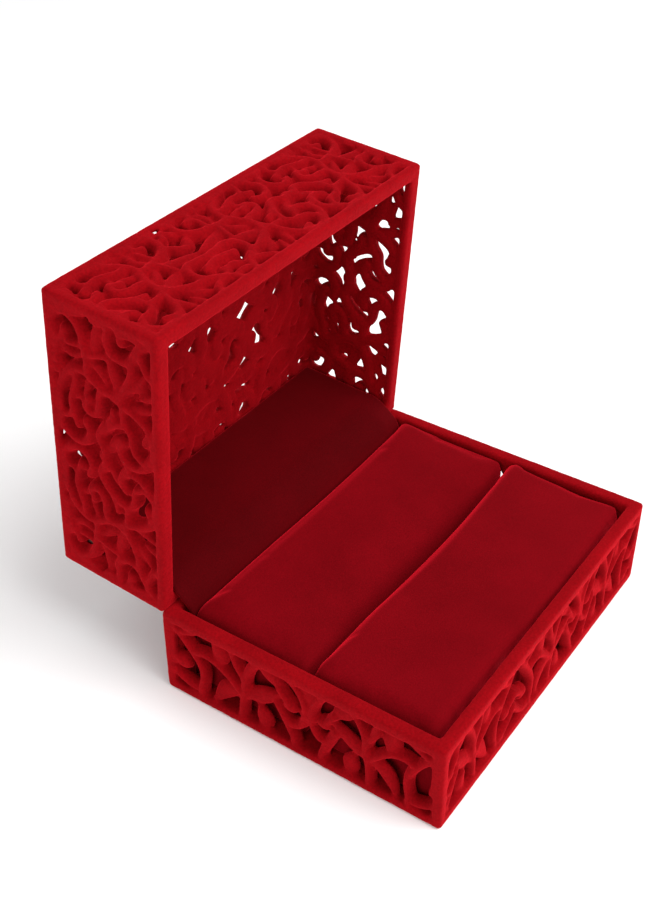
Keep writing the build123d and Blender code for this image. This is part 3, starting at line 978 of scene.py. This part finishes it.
def steel(name, dark, light, roughness):
    """Plated steel with fine drawn lines along the hinge and a little tarnish."""
    material, nodes, links, shader = node_material(name)
    place = nodes.new("ShaderNodeTexCoord")
    tarnish = add_noise(nodes, links, place, TARNISH_SCALE, detail=6.0, roughness=0.6)
    ramp = add_ramp(nodes, links, tarnish.outputs["Fac"], list(zip(TARNISH_STOPS, (dark, light))))
    stretch = nodes.new("ShaderNodeMapping")
    stretch.inputs["Scale"].default_value = DRAWN_STRETCH
    lines = nodes.new("ShaderNodeTexNoise")
    lines.inputs["Scale"].default_value = DRAWN_SCALE
    links.new(place.outputs["Object"], stretch.inputs["Vector"])
    links.new(stretch.outputs["Vector"], lines.inputs["Vector"])
    links.new(ramp.outputs["Color"], shader.inputs["Base Color"])
    rough = add_range(nodes, links, lines.outputs["Fac"], roughness - DRAWN_SPREAD, roughness + DRAWN_SPREAD)
    links.new(rough, shader.inputs["Roughness"])
    grooves = add_bump(nodes, links, lines.outputs["Fac"], strength=0.2, distance=DRAWN_DEPTH)
    links.new(grooves, shader.inputs["Normal"])
    shader.inputs["Metallic"].default_value = 1.0
    return material


def card():
    """Brown board with flecks and a fibrous surface."""
    material, nodes, links, shader = node_material("brown_board")
    place = nodes.new("ShaderNodeTexCoord")
    fibres = add_noise(nodes, links, place, FIBRE_SCALE, detail=8.0, roughness=0.7)
    ramp = add_ramp(nodes, links, fibres.outputs["Fac"], FIBRE_TONES)
    links.new(ramp.outputs["Color"], shader.inputs["Base Color"])
    links.new(add_range(nodes, links, fibres.outputs["Fac"], *FIBRE_ROUGHNESS), shader.inputs["Roughness"])
    raised = add_bump(nodes, links, fibres.outputs["Fac"], strength=0.4, distance=FIBRE_DEPTH)
    links.new(raised, shader.inputs["Normal"])
    return material


def finish_cad_pieces():
    """Materials for the hinge and the boards, which keep their CAD shapes."""
    plated = steel("plated_steel", dark=(0.42, 0.40, 0.38), light=(0.62, 0.61, 0.59), roughness=0.35)
    spring = steel("spring_steel", dark=(0.30, 0.30, 0.31), light=(0.45, 0.45, 0.46), roughness=0.3)
    board = card()
    for name in ("hinge_base_leaf", "hinge_lid_leaf", "hinge_pin", "hinge_base_rivets", "hinge_lid_rivets"):
        set_material(name, plated)
    set_material("hinge_spring", spring)
    for name in ("front_pad_board", "rear_pad_board", "lid_lining_board"):
        set_material(name, board)


def set_material(node, material):
    mesh = frame["nodes"][node].data
    mesh.materials.clear()
    mesh.materials.append(material)


# ---------------------------------------------------------------- stage

FLOOR_SIZE = 12.0
VIEW_AZIMUTH = math.radians(55.6)
VIEW_ELEVATION = math.radians(36.5)
VIEW_DISTANCE = 0.2394
VIEW_AIM = Vector((-0.0036, 0.0164, 0.0381))
VIEW_LENS = 53.2
CLIP_RANGE = (0.01, 10.0)
FLOOR_DROP = 0.05 * MM
FLOOR_TONES = [(0.3, (0.93, 0.93, 0.93)), (0.7, (0.96, 0.96, 0.96))]
FLOOR_TONE_SCALE = 6.0
FLOOR_ROUGHNESS = 0.9
WORLD_STRENGTH = 0.6
LIGHT_AIM = (0, 0, 0.03)


def make_camera():
    camera = new_object("camera", bpy.data.cameras.new("camera"))
    camera.data.lens = VIEW_LENS
    camera.data.sensor_width = 36.0
    camera.data.clip_start, camera.data.clip_end = CLIP_RANGE
    level = math.cos(VIEW_ELEVATION)
    look = Vector((math.sin(VIEW_AZIMUTH) * level, math.cos(VIEW_AZIMUTH) * level, -math.sin(VIEW_ELEVATION)))
    camera.location = VIEW_AIM - look * VIEW_DISTANCE
    camera.rotation_euler = look.to_track_quat("-Z", "Y").to_euler()
    SCENE.camera = camera


def area_light(name, location, size, power):
    light = bpy.data.lights.new(name, "AREA")
    light.shape = "SQUARE"
    light.size = size
    light.energy = power
    obj = new_object(name, light)
    obj.location = location
    obj.rotation_euler = (Vector(LIGHT_AIM) - Vector(location)).to_track_quat("-Z", "Y").to_euler()


def make_stage():
    mesh = bpy.data.meshes.new("floor")
    half = FLOOR_SIZE / 2
    corners = [(-half, -half, 0), (half, -half, 0), (half, half, 0), (-half, half, 0)]
    mesh.from_pydata(corners, [], [(0, 1, 2, 3)])
    floor = new_object("floor", mesh)
    floor.location.z = -FLOOR_DROP
    material, nodes, links, shader = node_material("pale_floor")
    place = nodes.new("ShaderNodeTexCoord")
    tone = add_noise(nodes, links, place, FLOOR_TONE_SCALE, detail=2.0)
    ramp = add_ramp(nodes, links, tone.outputs["Fac"], FLOOR_TONES)
    links.new(ramp.outputs["Color"], shader.inputs["Base Color"])
    shader.inputs["Roughness"].default_value = FLOOR_ROUGHNESS
    floor.data.materials.append(material)
    world = bpy.data.worlds.new("studio")
    SCENE.world = world
    world.use_nodes = True
    background = world.node_tree.nodes["Background"]
    background.inputs["Color"].default_value = (1, 1, 1, 1)
    background.inputs["Strength"].default_value = WORLD_STRENGTH
    area_light("key", location=(0.12, -0.50, 0.65), size=0.8, power=9.0)
    area_light("fill", location=(-0.75, -0.1, 0.3), size=0.5, power=2.5)
    SCENE.view_settings.view_transform = "Standard"


make_camera()
make_stage()
make_shells()
make_pads()
make_lining()
finish_cad_pieces()
